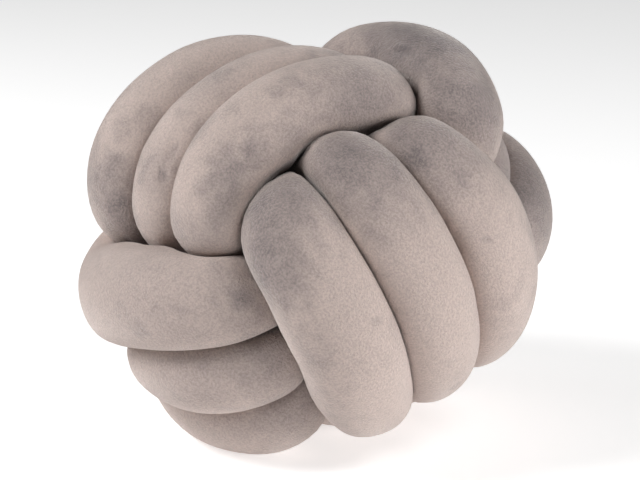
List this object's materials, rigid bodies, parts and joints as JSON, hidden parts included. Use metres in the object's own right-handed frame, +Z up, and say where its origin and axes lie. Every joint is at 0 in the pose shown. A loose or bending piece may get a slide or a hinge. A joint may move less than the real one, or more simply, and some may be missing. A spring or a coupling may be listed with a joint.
{
  "type": "knot cushion",
  "caption": "Round knot cushion: one long stuffed plush sleeve tied into a ball of three crossing bands, resting on a small flat spot.",
  "frame": {"origin": "on the floor, under the middle of the ball's outer box", "axes": "+Z up, -Y towards the side that the picture shows, +X to that side's right"},
  "size_m": [0.2978, 0.3046, 0.2497],
  "materials": {
    "velvet": "short-pile plush velvet in warm taupe, soft sheen towards the rims, mottled where the pile is brushed"
  },
  "bodies": {
    "root": {"knotted_sleeve": "velvet"}
  },
  "joints": []
}
